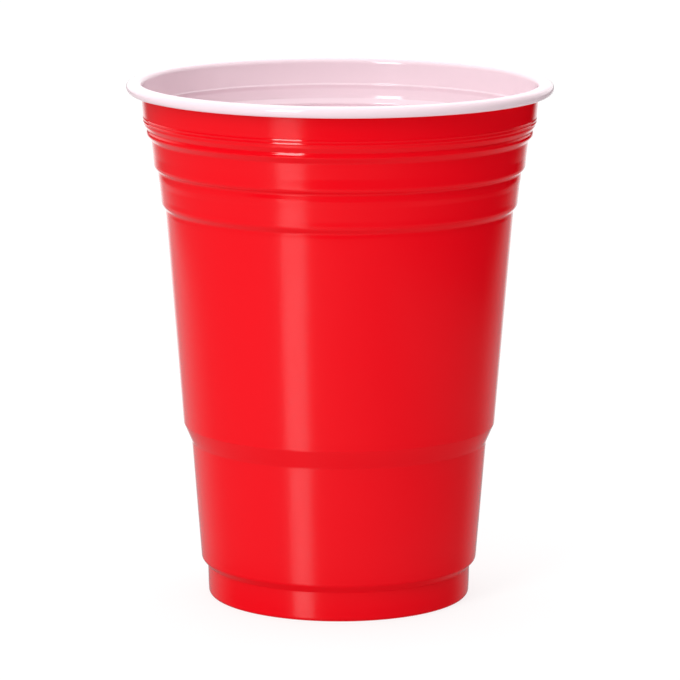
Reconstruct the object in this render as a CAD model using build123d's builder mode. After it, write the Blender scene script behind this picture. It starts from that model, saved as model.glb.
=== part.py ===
from build123d import *
import os
from math import radians, tan

# A plastic party cup, thermoformed in one piece from a sheet that is red on one side and white on
# the other. Millimetres, +Z up, origin at the middle of the circle that it stands on.
# Every size below is of the outer, red skin, and every wall of the cup has one thickness.

# The sheet
WALL = 0.35                 # thickness of the formed sheet
CREASE = 0.2                # tightest round that the sheet takes on the inside of a bend
SOFT_BEND = 6.0             # round where a wall changes its lean by a few degrees

# The floor, pressed up inside the foot
FLOOR_RAISE = 2.4           # underside of the floor above the table
PANEL_RADIUS = 15.0         # disc in the middle of the floor, pressed up once more
PANEL_RAISE = 0.6
FLOOR_STEP_WIDTH = 0.8      # how far a riser of the floor leans
FLOOR_ROUND = 0.6           # hollow rounds at the foot of the risers

# The foot, a plain ring that the cup stands on
FOOT_RADIUS = 29.64         # where its wall, drawn down, would meet the table
FOOT_RING_WIDTH = 3.6       # from that circle inwards to the riser of the floor
FOOT_EDGE_ROUND = 0.9       # round along the ground
FOOT_EDGE_HEIGHT = 2.6      # lower band of the foot, a little more tapered than the rest
FOOT_EDGE_TAPER = 3.0
FOOT_WALL_HEIGHT = 4.2
FOOT_WALL_TAPER = 1.4
FOOT_CORNER_ROUND = 0.5     # hollow corner under the shoulder

# The shoulder over the foot, which a second cup in a stack comes down on
SHOULDER_WIDTH = 1.42
SHOULDER_HEIGHT = 1.66
SHOULDER_ROUND = 1.3

# The lower wall, which the fingers close round, and the chamfer over it
LOWER_WALL_HEIGHT = 27.15
LOWER_WALL_TAPER = 4.6      # lean of the wall, in degrees
CHAMFER_WIDTH = 1.83
CHAMFER_HEIGHT = 4.2
CHAMFER_FOOT_ROUND = 1.3
CHAMFER_TOP_ROUND = 0.75

# The main wall, which stands nearly upright for its last millimetre under the ledge
MAIN_WALL_HEIGHT = 48.05
MAIN_WALL_TAPER = 4.53
HOLLOW_TAPER = 1.0          # lean of that last stretch, under each ledge
MAIN_HOLLOW_HEIGHT = 0.9

# The lower band over the main wall, stiffened by the ledge under it. It starts with a steeper heel
# and swells a little before its own upright stretch.
LOWER_LEDGE_WIDTH = 0.95
LOWER_LEDGE_HEIGHT = 1.22
HEEL_TAPER = 4.2
LOWER_HEEL_HEIGHT = 1.5
LOWER_BAND_HEIGHT = 3.0
LOWER_BAND_TAPER = 6.1
SWELL_HEIGHT = 1.5
SWELL_TAPER = 9.5
SWELL_HOLLOW_HEIGHT = 1.67
LOWER_LEDGE_ROUND = 1.6     # full round along the bottom of the band
LEDGE_CORNER_ROUND = 0.8    # hollow corner where the wall below runs into a ledge

# The upper band over that
UPPER_LEDGE_WIDTH = 0.95
UPPER_LEDGE_HEIGHT = 0.65
UPPER_HEEL_HEIGHT = 2.7
UPPER_BAND_HEIGHT = 3.55
UPPER_BAND_TAPER = 6.6
UPPER_LEDGE_ROUND = 1.3

# The bead under the neck: a ledge, a rounded nose, and a groove over it
BEAD_LEDGE_WIDTH = 1.06
BEAD_LEDGE_HEIGHT = 1.27
NOSE_HEIGHT = 0.62
NOSE_TAPER = -3.0           # the nose leans inwards
GROOVE_SIDE_HEIGHT = 0.48
GROOVE_SIDE_TAPER = -22.0   # upper side of the nose, down into the groove
GROOVE_WIDTH = 0.77
GROOVE_HEIGHT = 1.07
GROOVE_ROUND = 0.3

# The neck, and the lip rolled out of the top of the sheet
NECK_HEEL_HEIGHT = 0.8
NECK_HEEL_TAPER = 9.0
NECK_HEEL_BEND = 2.0
NECK_HEIGHT = 8.26          # up to the underside of the lip's flat top
NECK_TAPER = 4.8
LIP_INNER_ROUND = 1.2       # round from the inner wall on to the top of the lip
LIP_FLAT = 1.15             # flat top, between that round and the curl
LIP_THICKNESS = 2.44        # the curl's outer diameter
CURL_GAP = 0.55             # from the tucked edge of the curl to the neck
TUCK_ROUND = 0.35           # inside the bend that turns the tucked edge up
TUCK_HEIGHT = 0.3


def rise(start, height, taper):
    """Top corner of a wall of this height that leans outwards by taper degrees."""
    return (start[0] + height * tan(radians(taper)), start[1] + height)


def ledge(start, width, height):
    """Outer corner of a ledge of this width and height."""
    return (start[0] + width, start[1] + height)


# The corners of the red skin, from the axis out along the underside and then up the side
full_round = WALL + CREASE
panel_middle = (0, FLOOR_RAISE + PANEL_RAISE)
panel_edge = (PANEL_RADIUS, FLOOR_RAISE + PANEL_RAISE)
panel_foot = (PANEL_RADIUS + FLOOR_STEP_WIDTH, FLOOR_RAISE)
ring_inner = (FOOT_RADIUS - FOOT_RING_WIDTH, 0)
floor_edge = (ring_inner[0] - FLOOR_STEP_WIDTH, FLOOR_RAISE)
ring_outer = (FOOT_RADIUS, 0)
foot_break = rise(ring_outer, FOOT_EDGE_HEIGHT, FOOT_EDGE_TAPER)
foot_top = rise(foot_break, FOOT_WALL_HEIGHT, FOOT_WALL_TAPER)
shoulder = ledge(foot_top, SHOULDER_WIDTH, SHOULDER_HEIGHT)
chamfer_foot = rise(shoulder, LOWER_WALL_HEIGHT, LOWER_WALL_TAPER)
chamfer_top = ledge(chamfer_foot, CHAMFER_WIDTH, CHAMFER_HEIGHT)
main_hollow = rise(chamfer_top, MAIN_WALL_HEIGHT, MAIN_WALL_TAPER)
main_top = rise(main_hollow, MAIN_HOLLOW_HEIGHT, HOLLOW_TAPER)
lower_band = ledge(main_top, LOWER_LEDGE_WIDTH, LOWER_LEDGE_HEIGHT)
lower_heel = rise(lower_band, LOWER_HEEL_HEIGHT, HEEL_TAPER)
swell_foot = rise(lower_heel, LOWER_BAND_HEIGHT, LOWER_BAND_TAPER)
swell_top = rise(swell_foot, SWELL_HEIGHT, SWELL_TAPER)
lower_band_top = rise(swell_top, SWELL_HOLLOW_HEIGHT, HOLLOW_TAPER)
upper_band = ledge(lower_band_top, UPPER_LEDGE_WIDTH, UPPER_LEDGE_HEIGHT)
upper_heel = rise(upper_band, UPPER_HEEL_HEIGHT, HEEL_TAPER)
upper_band_top = rise(upper_heel, UPPER_BAND_HEIGHT, UPPER_BAND_TAPER)
bead = ledge(upper_band_top, BEAD_LEDGE_WIDTH, BEAD_LEDGE_HEIGHT)
nose_top = rise(bead, NOSE_HEIGHT, NOSE_TAPER)
groove = rise(nose_top, GROOVE_SIDE_HEIGHT, GROOVE_SIDE_TAPER)
neck_foot = ledge(groove, GROOVE_WIDTH, GROOVE_HEIGHT)
neck_heel = rise(neck_foot, NECK_HEEL_HEIGHT, NECK_HEEL_TAPER)
neck_top = rise(neck_heel, NECK_HEIGHT, NECK_TAPER)

# The lip: the red skin is on the inside of the curl, so its rounds are a wall smaller
curl_round = LIP_THICKNESS / 2 - WALL
curl_start = (neck_top[0] + LIP_INNER_ROUND + LIP_FLAT - WALL, neck_top[1])
curl_bottom = neck_top[1] - 2 * curl_round
neck_beside_curl = neck_top[0] - 2 * curl_round * tan(radians(NECK_TAPER))
tuck_start = (neck_beside_curl + CURL_GAP + WALL + TUCK_ROUND, curl_bottom)

skin_corners = [
    (panel_edge, full_round),
    (panel_foot, FLOOR_ROUND),
    (floor_edge, FLOOR_ROUND),
    (ring_inner, FOOT_EDGE_ROUND),
    (ring_outer, FOOT_EDGE_ROUND),
    (foot_break, FOOT_EDGE_ROUND),
    (foot_top, FOOT_CORNER_ROUND),
    (shoulder, SHOULDER_ROUND),
    (chamfer_foot, CHAMFER_FOOT_ROUND),
    (chamfer_top, CHAMFER_TOP_ROUND),
    (main_hollow, SOFT_BEND),
    (main_top, LEDGE_CORNER_ROUND),
    (lower_band, LOWER_LEDGE_ROUND),
    (lower_heel, SOFT_BEND),
    (swell_foot, SOFT_BEND),
    (swell_top, SOFT_BEND),
    (lower_band_top, LEDGE_CORNER_ROUND),
    (upper_band, UPPER_LEDGE_ROUND),
    (upper_heel, SOFT_BEND),
    (upper_band_top, LEDGE_CORNER_ROUND),
    (bead, full_round),
    (nose_top, full_round),
    (groove, GROOVE_ROUND),
    (neck_foot, full_round),
    (neck_heel, NECK_HEEL_BEND),
    (neck_top, LIP_INNER_ROUND - WALL),
]

# The cup: the skin's line is thickened inwards into the sheet's section, and turned about the axis
with BuildPart() as cup:
    with BuildSketch(Plane.XZ) as section:
        with BuildLine() as sheet:
            side = FilletPolyline(
                panel_middle,
                *[corner for corner, _ in skin_corners],
                curl_start,
                radius=[corner_round for _, corner_round in skin_corners],
            )
            curl = JernArc(side @ 1, side % 1, curl_round, -180)
            under_lip = Line(curl @ 1, tuck_start)
            tuck = JernArc(under_lip @ 1, under_lip % 1, TUCK_ROUND, -90)
            Line(tuck @ 1, tuck @ 1 + (0, TUCK_HEIGHT))
            offset(amount=WALL, side=Side.LEFT)
        make_face()
    revolve(axis=Axis.Z)

cup.part.label = "cup"
os.makedirs("parts", exist_ok=True)
export_step(cup.part, "parts/cup.step")

size = cup.part.bounding_box().size
print(f"across the lip {size.X:.2f}, height {size.Z:.2f}, plastic {cup.part.volume / 1000:.2f} cm3")
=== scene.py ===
from math import acos, cos, degrees, pi, radians, sin, tan

import bpy
from mathutils import Matrix, Vector


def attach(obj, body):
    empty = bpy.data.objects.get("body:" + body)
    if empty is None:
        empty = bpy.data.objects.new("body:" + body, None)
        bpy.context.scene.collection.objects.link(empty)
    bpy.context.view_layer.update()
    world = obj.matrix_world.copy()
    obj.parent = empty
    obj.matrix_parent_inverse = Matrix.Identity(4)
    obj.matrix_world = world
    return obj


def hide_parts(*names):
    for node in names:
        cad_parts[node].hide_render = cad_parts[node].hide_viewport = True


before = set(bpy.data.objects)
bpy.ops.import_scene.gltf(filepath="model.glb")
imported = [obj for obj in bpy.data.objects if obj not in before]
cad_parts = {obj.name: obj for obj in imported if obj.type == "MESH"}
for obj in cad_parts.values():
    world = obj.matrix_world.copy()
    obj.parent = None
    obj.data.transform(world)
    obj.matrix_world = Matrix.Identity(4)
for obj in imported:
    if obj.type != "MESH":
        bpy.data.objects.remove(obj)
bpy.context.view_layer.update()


# THE CAMERA
# A long lens nearly a metre from the cup, above its lip and looking down at it. It was levelled by
# eye, so the picture is turned by a fraction of a degree.
camera_distance = 0.921
camera_height = 0.22826
camera_aside = 0.00016
camera_dip = 10.453
camera_turn = 0.15

camera_data = bpy.data.cameras.new("camera")
camera_data.lens = 218.61
camera_data.sensor_width = 36.0
camera = bpy.data.objects.new("camera", camera_data)
camera_place = Matrix.Translation((camera_aside, -camera_distance, camera_height))
camera_pitch = Matrix.Rotation(radians(90.0 - camera_dip), 4, "X")
camera.matrix_world = camera_place @ camera_pitch @ Matrix.Rotation(radians(camera_turn), 4, "Z")
bpy.context.scene.collection.objects.link(camera)
bpy.context.scene.camera = camera


# THE CUP
# One sheet of polystyrene, red on one side and white on the other, drawn down hot into a mould.
# The ledges, the bands and the bead stiffen it, and its top edge is rolled outwards into the lip,
# so the lip shows the white side. The sizes are those of the red skin, from the floor to the lip.
MM = 0.001

wall = 0.35 * MM
crease = 0.2 * MM
soft_bend = 6.0 * MM

floor_raise = 2.4 * MM
panel_radius = 15.0 * MM
panel_raise = 0.6 * MM
floor_step_width = 0.8 * MM
floor_round = 0.6 * MM

foot_radius = 29.64 * MM
foot_ring_width = 3.6 * MM
foot_edge_round = 0.9 * MM
foot_edge_height = 2.6 * MM
foot_edge_taper = 3.0
foot_wall_height = 4.2 * MM
foot_wall_taper = 1.4
foot_corner_round = 0.5 * MM

shoulder_width = 1.42 * MM
shoulder_height = 1.66 * MM
shoulder_round = 1.3 * MM

lower_wall_height = 27.15 * MM
lower_wall_taper = 4.6
chamfer_width = 1.83 * MM
chamfer_height = 4.2 * MM
chamfer_foot_round = 1.3 * MM
chamfer_top_round = 0.75 * MM
main_wall_height = 48.05 * MM
main_wall_taper = 4.53
hollow_taper = 1.0
main_hollow_height = 0.9 * MM

lower_ledge_width = 0.95 * MM
lower_ledge_height = 1.22 * MM
heel_taper = 4.2
lower_heel_height = 1.5 * MM
lower_band_height = 3.0 * MM
lower_band_taper = 6.1
swell_height = 1.5 * MM
swell_taper = 9.5
swell_hollow_height = 1.67 * MM
lower_ledge_round = 1.6 * MM
ledge_corner_round = 0.8 * MM

upper_ledge_width = 0.95 * MM
upper_ledge_height = 0.65 * MM
upper_heel_height = 2.7 * MM
upper_band_height = 3.55 * MM
upper_band_taper = 6.6
upper_ledge_round = 1.3 * MM

bead_ledge_width = 1.06 * MM
bead_ledge_height = 1.27 * MM
nose_height = 0.62 * MM
nose_taper = -3.0
groove_side_height = 0.48 * MM
groove_side_taper = -22.0
groove_width = 0.77 * MM
groove_height = 1.07 * MM
groove_round = 0.3 * MM

neck_heel_height = 0.8 * MM
neck_heel_taper = 9.0
neck_height = 8.26 * MM
neck_taper = 4.8
neck_heel_bend = 2.0 * MM
lip_inner_round = 1.2 * MM
lip_flat = 1.15 * MM
lip_thickness = 2.44 * MM
curl_gap = 0.55 * MM
tuck_round = 0.35 * MM
tuck_height = 0.3 * MM

degrees_between_points = 9.0
least_steps = 2
steps_around = 176


def rise(start, height, taper):
    """Top corner of a wall of this height that leans outwards by taper degrees."""
    return (start[0] + height * tan(radians(taper)), start[1] + height)


def ledge(start, width, height):
    """Outer corner of a ledge of this width and height."""
    return (start[0] + width, start[1] + height)


def arc(middle, radius, start_angle, turn):
    """Points of an arc after its start, turned by so many degrees about its middle."""
    steps = max(least_steps, round(abs(turn) / degrees_between_points))
    angles = [radians(start_angle + turn * step / steps) for step in range(1, steps + 1)]
    return [(middle[0] + radius * cos(angle), middle[1] + radius * sin(angle)) for angle in angles]


def round_corner(before, corner, after, radius):
    """Start of a corner's round, and the points along it."""
    inward = (Vector(before) - Vector(corner)).normalized()
    outward = (Vector(after) - Vector(corner)).normalized()
    between = acos(inward.dot(outward))
    start = Vector(corner) + inward * radius / tan(between / 2)
    middle = Vector(corner) + (inward + outward).normalized() * radius / sin(between / 2)
    side = 1 if inward.cross(outward) < 0 else -1
    turn = side * (180 - degrees(between))
    start_angle = -degrees(Vector((1, 0)).angle_signed(start - middle))
    return [tuple(start)] + arc(middle, radius, start_angle, turn)


full_round = wall + crease
panel_middle = (0.0, floor_raise + panel_raise)
panel_edge = (panel_radius, floor_raise + panel_raise)
panel_foot = (panel_radius + floor_step_width, floor_raise)
ring_inner = (foot_radius - foot_ring_width, 0.0)
floor_edge = (ring_inner[0] - floor_step_width, floor_raise)
ring_outer = (foot_radius, 0.0)
foot_break = rise(ring_outer, foot_edge_height, foot_edge_taper)
foot_top = rise(foot_break, foot_wall_height, foot_wall_taper)
shoulder = ledge(foot_top, shoulder_width, shoulder_height)
chamfer_foot = rise(shoulder, lower_wall_height, lower_wall_taper)
chamfer_top = ledge(chamfer_foot, chamfer_width, chamfer_height)
main_hollow = rise(chamfer_top, main_wall_height, main_wall_taper)
main_top = rise(main_hollow, main_hollow_height, hollow_taper)
lower_band = ledge(main_top, lower_ledge_width, lower_ledge_height)
lower_heel = rise(lower_band, lower_heel_height, heel_taper)
swell_foot = rise(lower_heel, lower_band_height, lower_band_taper)
swell_top = rise(swell_foot, swell_height, swell_taper)
lower_band_top = rise(swell_top, swell_hollow_height, hollow_taper)
upper_band = ledge(lower_band_top, upper_ledge_width, upper_ledge_height)
upper_heel = rise(upper_band, upper_heel_height, heel_taper)
upper_band_top = rise(upper_heel, upper_band_height, upper_band_taper)
bead = ledge(upper_band_top, bead_ledge_width, bead_ledge_height)
nose_top = rise(bead, nose_height, nose_taper)
groove = rise(nose_top, groove_side_height, groove_side_taper)
neck_foot = ledge(groove, groove_width, groove_height)
neck_heel = rise(neck_foot, neck_heel_height, neck_heel_taper)
neck_top = rise(neck_heel, neck_height, neck_taper)

curl_round = lip_thickness / 2 - wall
curl_start = (neck_top[0] + lip_inner_round + lip_flat - wall, neck_top[1])
curl_middle = (curl_start[0], neck_top[1] - curl_round)
curl_bottom = neck_top[1] - 2 * curl_round
neck_beside_curl = neck_top[0] - 2 * curl_round * tan(radians(neck_taper))
tuck_start = (neck_beside_curl + curl_gap + wall + tuck_round, curl_bottom)
tuck_middle = (tuck_start[0], curl_bottom + tuck_round)

skin_corners = [
    (panel_edge, full_round),
    (panel_foot, floor_round),
    (floor_edge, floor_round),
    (ring_inner, foot_edge_round),
    (ring_outer, foot_edge_round),
    (foot_break, foot_edge_round),
    (foot_top, foot_corner_round),
    (shoulder, shoulder_round),
    (chamfer_foot, chamfer_foot_round),
    (chamfer_top, chamfer_top_round),
    (main_hollow, soft_bend),
    (main_top, ledge_corner_round),
    (lower_band, lower_ledge_round),
    (lower_heel, soft_bend),
    (swell_foot, soft_bend),
    (swell_top, soft_bend),
    (lower_band_top, ledge_corner_round),
    (upper_band, upper_ledge_round),
    (upper_heel, soft_bend),
    (upper_band_top, ledge_corner_round),
    (bead, full_round),
    (nose_top, full_round),
    (groove, groove_round),
    (neck_foot, full_round),
    (neck_heel, neck_heel_bend),
    (neck_top, lip_inner_round - wall),
]

corners = [panel_middle] + [corner for corner, _ in skin_corners] + [curl_start]
runs = [[panel_middle]]
for place, (corner, radius) in enumerate(skin_corners, start=1):
    runs.append(round_corner(corners[place - 1], corner, corners[place + 1], radius))
runs.append([curl_start] + arc(curl_middle, curl_round, start_angle=90, turn=-180))
tuck_arc = arc(tuck_middle, tuck_round, start_angle=-90, turn=-90)
runs.append([tuck_start] + tuck_arc)
runs.append([(tuck_arc[-1][0], tuck_arc[-1][1] + tuck_height)])

# A long straight wall gets one more point close to each of its ends, so that smooth shading keeps
# it straight up to the round.
beside_round = 0.12 * MM
shortest_long_wall = 4 * beside_round
same_point = 0.0001 * MM

skin = []
for run in runs:
    if skin:
        gap = Vector(run[0]) - Vector(skin[-1])
        if gap.length > shortest_long_wall:
            skin.append(tuple(Vector(skin[-1]) + gap.normalized() * beside_round))
            skin.append(tuple(Vector(run[0]) - gap.normalized() * beside_round))
        if gap.length < same_point:
            run = run[1:]
    skin.extend(run)

# Two fine creases run round the foot of the neck, in the red skin only. Each rises to its crest and
# falls back to the neck, and the skin gets points along it for that.
crease_depth = 0.11 * MM
crease_rise = 0.24 * MM
crease_fall = 0.33 * MM
lower_crest = neck_heel[1] + 0.02 * MM
upper_crest = neck_heel[1] + 0.78 * MM
crease_crests = (lower_crest, upper_crest)
shares_of_rise = (1.3, 1.0, 0.6, 0.3, 0.0)
shares_of_fall = (0.2, 0.5, 0.8, 1.0, 1.3)
point_heights = []
for crest in crease_crests:
    point_heights += [crest - crease_rise * share for share in shares_of_rise]
    point_heights += [crest + crease_fall * share for share in shares_of_fall]

# One low ridge runs round the inside under the lip, in the white skin only. Its upper side is the
# steeper one, and catches the light from above.
ridge_under_lip = 5.75 * MM
ridge_crest = neck_top[1] - ridge_under_lip
ridge_depth = 0.22 * MM
ridge_upper_side = 0.3 * MM
ridge_lower_side = 0.9 * MM
shares_above_crest = (0.0, 0.3, 0.7, 1.0, 1.3)
shares_below_crest = (0.1, 0.3, 0.7, 1.0, 1.2)
point_heights += [ridge_crest + ridge_upper_side * share for share in shares_above_crest]
point_heights += [ridge_crest - ridge_lower_side * share for share in shares_below_crest]

# A point that would all but meet one of the skin's own is left out.
least_point_gap = 0.01 * MM
for point_height in sorted(point_heights):
    outer_half = range(len(skin) // 2 + 1, len(skin))
    above = next(place for place in outer_half if skin[place][1] > point_height)
    low, high = Vector(skin[above - 1]), Vector(skin[above])
    along = (point_height - low.y) / (high.y - low.y)
    if min(point_height - low.y, high.y - point_height) > least_point_gap:
        skin.insert(above, tuple(low.lerp(high, along)))

# The skin's line is drawn point by point from the middle of the floor, and spun about the axis.
seed_size = 1.0 * MM
weld_distance = 0.001 * MM
bpy.ops.object.select_all(action="DESELECT")
bpy.ops.mesh.primitive_plane_add(size=seed_size, location=(skin[0][0], 0.0, skin[0][1]))
cup = bpy.context.object
cup.name = "formed_cup"
bpy.ops.object.transform_apply(location=True, rotation=True, scale=True)
bpy.ops.object.mode_set(mode="EDIT")
bpy.ops.mesh.select_all(action="SELECT")
bpy.ops.mesh.merge(type="CENTER")
for place in range(1, len(skin)):
    step_out = skin[place][0] - skin[place - 1][0]
    step_up = skin[place][1] - skin[place - 1][1]
    bpy.ops.mesh.extrude_region_move(TRANSFORM_OT_translate={"value": (step_out, 0.0, step_up)})
bpy.ops.mesh.select_all(action="SELECT")
bpy.ops.mesh.spin(steps=steps_around, angle=2 * pi, center=(0, 0, 0), axis=(0, 0, 1))
bpy.ops.mesh.select_all(action="SELECT")
bpy.ops.mesh.remove_doubles(threshold=weld_distance)
bpy.ops.mesh.normals_make_consistent(inside=True)
bpy.ops.object.mode_set(mode="OBJECT")


# Both skins are gloss polystyrene with the faint unevenness of a formed sheet. The white skin is so
# thin that a little red comes through it.
red = (0.93, 0.0018, 0.009, 1.0)
red_roughness = 0.08
white = (0.95, 0.765, 0.825, 1.0)
white_roughness = 0.1
polystyrene_ior = 1.52
least_tint = 0.985
most_tint = 1.015
least_roughness_share = 0.8
most_roughness_share = 1.2
unevenness = 0.004 * MM
grain_share = 0.12


def add_node(tree, kind, spot, **settings):
    """A new node at its spot in the node editor, with these settings."""
    node = tree.nodes.new(kind)
    node.location = spot
    for name, value in settings.items():
        setattr(node, name, value)
    return node


def add_noise(tree, spot, source, scale, detail):
    """A noise texture over the source's coordinates."""
    node = add_node(tree, "ShaderNodeTexNoise", spot)
    node.inputs["Scale"].default_value = scale
    node.inputs["Detail"].default_value = detail
    tree.links.new(source, node.inputs["Vector"])
    return node.outputs["Fac"]


def formed_sheet_group():
    """Slight unevenness of a drawn sheet: its tint, its gloss and its surface."""
    group = bpy.data.node_groups.new("formed sheet", "ShaderNodeTree")
    face = group.interface
    face.new_socket("Colour", in_out="INPUT", socket_type="NodeSocketColor")
    face.new_socket("Roughness", in_out="INPUT", socket_type="NodeSocketFloat")
    face.new_socket("Colour", in_out="OUTPUT", socket_type="NodeSocketColor")
    face.new_socket("Roughness", in_out="OUTPUT", socket_type="NodeSocketFloat")
    face.new_socket("Height", in_out="OUTPUT", socket_type="NodeSocketFloat")
    given = add_node(group, "NodeGroupInput", (-900, 0))
    result = add_node(group, "NodeGroupOutput", (700, 0))
    coordinate = add_node(group, "ShaderNodeTexCoord", (-900, -300))
    object_place = coordinate.outputs["Object"]

    clouds = add_noise(group, (-600, 300), object_place, scale=35.0, detail=3.0)
    tint = add_node(group, "ShaderNodeMapRange", (-350, 300))
    tint.inputs["To Min"].default_value = least_tint
    tint.inputs["To Max"].default_value = most_tint
    group.links.new(clouds, tint.inputs["Value"])
    shade = add_node(group, "ShaderNodeVectorMath", (-50, 200), operation="SCALE")
    group.links.new(given.outputs["Colour"], shade.inputs[0])
    group.links.new(tint.outputs["Result"], shade.inputs["Scale"])
    group.links.new(shade.outputs["Vector"], result.inputs["Colour"])

    haze = add_noise(group, (-600, 0), object_place, scale=120.0, detail=4.0)
    gloss = add_node(group, "ShaderNodeMapRange", (-350, 0))
    gloss.inputs["To Min"].default_value = least_roughness_share
    gloss.inputs["To Max"].default_value = most_roughness_share
    group.links.new(haze, gloss.inputs["Value"])
    rough = add_node(group, "ShaderNodeMath", (-50, 0), operation="MULTIPLY")
    group.links.new(given.outputs["Roughness"], rough.inputs[0])
    group.links.new(gloss.outputs["Result"], rough.inputs[1])
    group.links.new(rough.outputs["Value"], result.inputs["Roughness"])

    ripple = add_noise(group, (-600, -300), object_place, scale=90.0, detail=2.0)
    grain = add_noise(group, (-600, -600), object_place, scale=900.0, detail=2.0)
    fine = add_node(group, "ShaderNodeMath", (-350, -600), operation="MULTIPLY")
    fine.inputs[1].default_value = grain_share
    group.links.new(grain, fine.inputs[0])
    height = add_node(group, "ShaderNodeMath", (-50, -400), operation="ADD")
    group.links.new(ripple, height.inputs[0])
    group.links.new(fine.outputs["Value"], height.inputs[1])
    group.links.new(height.outputs["Value"], result.inputs["Height"])
    return group


formed_sheet = formed_sheet_group()


def skin_material(name, colour, roughness):
    """Polystyrene of this colour, with the formed sheet's unevenness."""
    material = bpy.data.materials.new(name)
    material.use_nodes = True
    tree = material.node_tree
    tree.nodes.clear()
    surface = add_node(tree, "ShaderNodeGroup", (-500, 0), node_tree=formed_sheet)
    surface.inputs["Colour"].default_value = colour
    surface.inputs["Roughness"].default_value = roughness
    bump = add_node(tree, "ShaderNodeBump", (-200, -300))
    bump.inputs["Strength"].default_value = 1.0
    bump.inputs["Distance"].default_value = unevenness
    plastic = add_node(tree, "ShaderNodeBsdfPrincipled", (50, 0))
    plastic.inputs["IOR"].default_value = polystyrene_ior
    output = add_node(tree, "ShaderNodeOutputMaterial", (350, 0))
    tree.links.new(surface.outputs["Colour"], plastic.inputs["Base Color"])
    tree.links.new(surface.outputs["Roughness"], plastic.inputs["Roughness"])
    tree.links.new(surface.outputs["Height"], bump.inputs["Height"])
    tree.links.new(bump.outputs["Normal"], plastic.inputs["Normal"])
    tree.links.new(plastic.outputs["BSDF"], output.inputs["Surface"])
    return material


cup.data.materials.append(skin_material("red skin", red, red_roughness))
cup.data.materials.append(skin_material("white skin", white, white_roughness))

# The sheet is thickened inwards, and its inner side and its cut edge take the white skin.
sheet = cup.modifiers.new("sheet", "SOLIDIFY")
sheet.thickness = wall
sheet.offset = -1.0
sheet.use_even_offset = True
sheet.material_offset = 1
sheet.material_offset_rim = 1
bpy.ops.object.modifier_apply(modifier=sheet.name)
bpy.ops.object.shade_smooth()


def share_of_depth(height, crest, lower_side, upper_side):
    """From 1 at the crest to 0 at the end of each side."""
    over_crest = height - crest
    side = upper_side if over_crest > 0 else lower_side
    return max(0.0, 1.0 - abs(over_crest) / side)


# The creases go outwards on the red side of the neck, and the ridge goes inwards on its white side.
for vertex in cup.data.vertices:
    from_axis = Vector((vertex.co.x, vertex.co.y)).length
    height = vertex.co.z
    neck_line = neck_heel[0] + (height - neck_heel[1]) * tan(radians(neck_taper))
    lift = 0.0
    if abs(from_axis - neck_line) < wall / 2:
        for crest in crease_crests:
            lift += crease_depth * share_of_depth(height, crest, crease_rise, crease_fall)
    elif abs(from_axis - neck_line + wall) < wall / 2:
        lift -= ridge_depth * share_of_depth(height, ridge_crest, ridge_lower_side, ridge_upper_side)
    if lift:
        vertex.co.x *= 1.0 + lift / from_axis
        vertex.co.y *= 1.0 + lift / from_axis

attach(cup, "root")
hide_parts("cup")


# THE TABLE
# A table top painted white, with a soft polish. The camera sees it lit to plain white, with only the
# cup's own shadow on it. To the cup's gloss alone it glows with painted light, bright straight behind
# the cup and dim in front, where it soon ends, with a painted shadow round the foot and a painted
# glow on the right. Its polish shows the softbox and the room, and ends at both sides.
table_span = 30.0
polish_roughness = 0.32
polish_ior = 1.9

# Three quarters of the paint's white is its own light, which keeps the table plain white but for the
# cup's shadow. The cup is lit by a little less of that light than the camera sees.
paint_white = (0.9, 0.9, 0.9, 1.0)
lit_share = 0.75
lit_strength = 1.03
lit_less_on_cup = 0.2

# Painted light on the table, which only the cup's gloss sees: pools of light, a painted glow on the
# right, a painted shadow round the foot and the table's front edge. Each reach is where a light or an
# edge fades in, in metres from the cup, with X to the right and Y away from the camera. The last one
# is a cosine instead, of the angle from straight behind.
front_edge_reach = (-0.36, -0.28)
left_light_reach = (0.32, -0.15)
left_light_full = 0.25
foot_shade_reach = (0.032, 0.07)
foot_shade_least = 0.25
side_edges_reach = (0.38, 0.25)
painted_right_glow_reach = (0.08, 0.2)
painted_right_glow_full = 0.1
near_cup_reach = (0.33, 0.23)
straight_behind = (0.0, 1.0, 0.0)
back_light_reach = (0.86, 0.99)

bpy.ops.object.select_all(action="DESELECT")
bpy.ops.mesh.primitive_plane_add(size=table_span, location=(0.0, 0.0, 0.0))
table = bpy.context.object
table.name = "table"
table_white = bpy.data.materials.new("table white")
table_white.use_nodes = True
tree = table_white.node_tree
tree.nodes.clear()
light_path = add_node(tree, "ShaderNodeLightPath", (-900, 500))
table_place = add_node(tree, "ShaderNodeTexCoord", (-1500, 0))
sides = add_node(tree, "ShaderNodeSeparateXYZ", (-1300, 0))
tree.links.new(table_place.outputs["Object"], sides.inputs[0])


def fade(value, reach, low, high, spot):
    """A soft change from low to high as the value goes from the reach's start to its end."""
    start, end = reach
    node = add_node(tree, "ShaderNodeMapRange", spot, interpolation_type="SMOOTHSTEP")
    node.inputs["From Min"].default_value = min(start, end)
    node.inputs["From Max"].default_value = max(start, end)
    node.inputs["To Min"].default_value = low if start < end else high
    node.inputs["To Max"].default_value = high if start < end else low
    tree.links.new(value, node.inputs["Value"])
    return node.outputs["Result"]


def work(operation, first, second, spot):
    """One sum. Each value is a number or another node's output, and the second may be None."""
    node = add_node(tree, "ShaderNodeMath", spot, operation=operation)
    for socket, value in zip(node.inputs, (first, second)):
        if isinstance(value, float):
            socket.default_value = value
        elif value is not None:
            tree.links.new(value, socket)
    return node.outputs[0]


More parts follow.
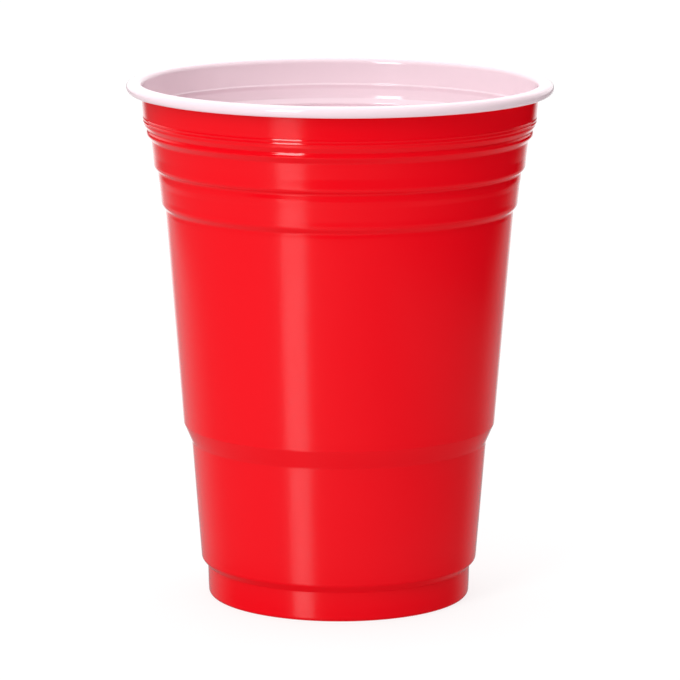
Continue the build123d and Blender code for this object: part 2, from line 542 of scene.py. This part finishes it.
from_cup = add_node(tree, "ShaderNodeVectorMath", (-1100, -600), operation="LENGTH")
tree.links.new(table_place.outputs["Object"], from_cup.inputs[0])
# Painted shadow: the glow that the cup's gloss sees is dimmer close round its foot.
foot_shade = fade(from_cup.outputs["Value"], foot_shade_reach, foot_shade_least, 1.0, (-900, -600))
front_edge = fade(sides.outputs["Y"], front_edge_reach, 0.0, 1.0, (-900, -400))
left_light = fade(sides.outputs["X"], left_light_reach, 0.0, left_light_full, (-900, -200))
front_light = work("MULTIPLY", front_edge, left_light, (-700, -400))
front_light = work("MULTIPLY", front_light, foot_shade, (-500, -400))
from_middle = work("ABSOLUTE", sides.outputs["X"], None, (-1100, 200))
side_edges = fade(from_middle, side_edges_reach, 0.0, 1.0, (-900, 200))
# A painted glow on the right of the table, near the cup, that only the cup's gloss sees.
painted_right_glow = fade(sides.outputs["X"], painted_right_glow_reach, 0.0, painted_right_glow_full, (-900, -1000))
near_cup = fade(from_cup.outputs["Value"], near_cup_reach, 0.0, 1.0, (-900, -1200))
painted_right_glow = work("MULTIPLY", painted_right_glow, near_cup, (-700, -1000))
mirrored_light = work("ADD", front_light, painted_right_glow, (-400, -600))
outward = add_node(tree, "ShaderNodeVectorMath", (-1100, -800), operation="NORMALIZE")
tree.links.new(table_place.outputs["Object"], outward.inputs[0])
toward_back = add_node(tree, "ShaderNodeVectorMath", (-900, -800), operation="DOT_PRODUCT")
toward_back.inputs[1].default_value = straight_behind
tree.links.new(outward.outputs["Vector"], toward_back.inputs[0])
back_light = fade(toward_back.outputs["Value"], back_light_reach, 0.0, 1.0, (-700, -800))
mirrored_light = work("ADD", mirrored_light, back_light, (-300, -400))

paint = add_node(tree, "ShaderNodeBsdfDiffuse", (-300, 300))
paint.inputs["Color"].default_value = paint_white
lit = add_node(tree, "ShaderNodeEmission", (-300, 150))
less_light = work("MULTIPLY", light_path.outputs["Is Diffuse Ray"], -lit_less_on_cup, (-600, 150))
tree.links.new(work("ADD", less_light, lit_strength, (-450, 150)), lit.inputs["Strength"])
seen = add_node(tree, "ShaderNodeMixShader", (0, 300))
seen.inputs["Fac"].default_value = lit_share
tree.links.new(paint.outputs["BSDF"], seen.inputs[1])
tree.links.new(lit.outputs["Emission"], seen.inputs[2])

# The painted light glows from the table only for the cup's gloss, mixed by Fresnel with the polish.
dim = add_node(tree, "ShaderNodeEmission", (-100, -200))
tree.links.new(mirrored_light, dim.inputs["Strength"])
polish = add_node(tree, "ShaderNodeBsdfGlossy", (-100, -350))
polish.inputs["Roughness"].default_value = polish_roughness
tree.links.new(side_edges, polish.inputs["Color"])
edge_on = add_node(tree, "ShaderNodeFresnel", (-100, -50))
edge_on.inputs["IOR"].default_value = polish_ior
shown = add_node(tree, "ShaderNodeMixShader", (100, -150))
tree.links.new(edge_on.outputs["Fac"], shown.inputs["Fac"])
tree.links.new(dim.outputs["Emission"], shown.inputs[1])
tree.links.new(polish.outputs["BSDF"], shown.inputs[2])

either = add_node(tree, "ShaderNodeMixShader", (300, 100))
tree.links.new(light_path.outputs["Is Glossy Ray"], either.inputs["Fac"])
tree.links.new(seen.outputs["Shader"], either.inputs[1])
tree.links.new(shown.outputs["Shader"], either.inputs[2])
output = add_node(tree, "ShaderNodeOutputMaterial", (500, 100))
tree.links.new(either.outputs["Shader"], output.inputs["Surface"])
table_white.cycles.emission_sampling = "NONE"
table.data.materials.append(table_white)


# THE LIGHTS
# One tall softbox, a lamp behind a white cloth, stands upright to the left of the camera. The cup's
# walls lean outwards, so they show it as the polished table mirrors it, in a dim stripe.
softbox_azimuth = -30.5
softbox_distance = 1.0
softbox_middle_height = 0.64
softbox_width = 0.29
softbox_length = 0.84
softbox_power = 6.6


def toward(azimuth):
    """Level direction from the cup, with azimuth 0 at the camera and growing to the right."""
    return Vector((sin(radians(azimuth)), -cos(radians(azimuth)), 0.0))


softbox_light = bpy.data.lights.new("softbox", "AREA")
softbox_light.shape = "RECTANGLE"
softbox_light.size = softbox_width
softbox_light.size_y = softbox_length
softbox_light.energy = softbox_power
softbox = bpy.data.objects.new("softbox", softbox_light)
softbox_aim = Vector((0.0, 0.0, softbox_middle_height))
softbox_place = softbox_distance * toward(softbox_azimuth) + softbox_aim
softbox.location = softbox_place
softbox.rotation_euler = (softbox_aim - softbox_place).to_track_quat("-Z", "Y").to_euler()
softbox.visible_camera = False
bpy.context.scene.collection.objects.link(softbox)


# THE STUDIO
# A white backdrop stands behind the cup, turned a little to the left, in a room that is dim in front
# of the cup. A white ceiling fills the shadows, and the cup's gloss shows a light overhead. The
# camera itself sees plain white all round.

# Each reach is a cosine: of the angle from the backdrop's middle for the backdrop and the side walls,
# and of the angle from straight up for the ceiling and the overhead light.
backdrop_azimuth = 187.0
backdrop_reach = (0.29, 0.87)
backdrop_dim = 0.024
backdrop_bright = 1.08
backdrop_less_in_first = 0.5
side_walls_reach = (-0.2, 0.4)
side_walls_dim = 0.04
side_walls_bright = 0.68
ceiling_reach = (0.5, 0.75)
ceiling_bright = 1.4
overhead_reach = (0.78, 0.88)
overhead_bright = 1.8
past_first_depth = 1.5
plain_white = 1.0

world = bpy.data.worlds.new("studio")
bpy.context.scene.world = world
world.use_nodes = True
world.cycles.sampling_method = "NONE"
tree = world.node_tree
tree.nodes.clear()
light_path = add_node(tree, "ShaderNodeLightPath", (-900, 400))
direction = add_node(tree, "ShaderNodeTexCoord", (-900, 0))
behind = add_node(tree, "ShaderNodeVectorMath", (-650, 0), operation="DOT_PRODUCT")
behind.inputs[1].default_value = toward(backdrop_azimuth)
tree.links.new(direction.outputs["Generated"], behind.inputs[0])
facing_back = behind.outputs["Value"]
backdrop = fade(facing_back, backdrop_reach, backdrop_dim, backdrop_bright, (-400, 0))
side_walls = fade(facing_back, side_walls_reach, side_walls_dim, side_walls_bright, (-400, -300))
upward = add_node(tree, "ShaderNodeSeparateXYZ", (-650, -500))
tree.links.new(direction.outputs["Generated"], upward.inputs[0])
ceiling = fade(upward.outputs["Z"], ceiling_reach, 0.0, ceiling_bright, (-400, -500))
fill = work("ADD", side_walls, ceiling, (-200, -400))
overhead = fade(upward.outputs["Z"], overhead_reach, 0.0, overhead_bright, (-400, -700))

# The gloss that the camera looks at is the first mirror, with a ray depth of 1. It shows the backdrop
# less bright than a second mirror does, and it alone shows the overhead light.
first_mirror = work("LESS_THAN", light_path.outputs["Ray Depth"], past_first_depth, (-400, -900))
overhead = work("MULTIPLY", overhead, first_mirror, (-200, -700))
backdrop_share = work("MULTIPLY", first_mirror, -backdrop_less_in_first, (-200, -900))
backdrop_share = work("ADD", backdrop_share, 1.0, (0, -900))
backdrop = work("MULTIPLY", backdrop, backdrop_share, (-200, 0))
mirrored_room = work("ADD", backdrop, overhead, (0, 0))

is_glossy = light_path.outputs["Is Glossy Ray"]
is_transmission = light_path.outputs["Is Transmission Ray"]
is_mirrored = work("MAXIMUM", is_glossy, is_transmission, (-650, 300))
fill_or_room = add_node(tree, "ShaderNodeMix", (-150, 100), data_type="FLOAT")
tree.links.new(is_mirrored, fill_or_room.inputs[0])
tree.links.new(fill, fill_or_room.inputs[2])
tree.links.new(mirrored_room, fill_or_room.inputs[3])
room_or_white = add_node(tree, "ShaderNodeMix", (250, 200), data_type="FLOAT")
room_or_white.inputs[3].default_value = plain_white
tree.links.new(light_path.outputs["Is Camera Ray"], room_or_white.inputs[0])
tree.links.new(fill_or_room.outputs[0], room_or_white.inputs[2])
background = add_node(tree, "ShaderNodeBackground", (450, 0))
background.inputs["Color"].default_value = (1.0, 1.0, 1.0, 1.0)
tree.links.new(room_or_white.outputs[0], background.inputs["Strength"])
output = add_node(tree, "ShaderNodeOutputWorld", (650, 0))
tree.links.new(background.outputs["Background"], output.inputs["Surface"])

bpy.context.scene.view_settings.view_transform = "Standard"
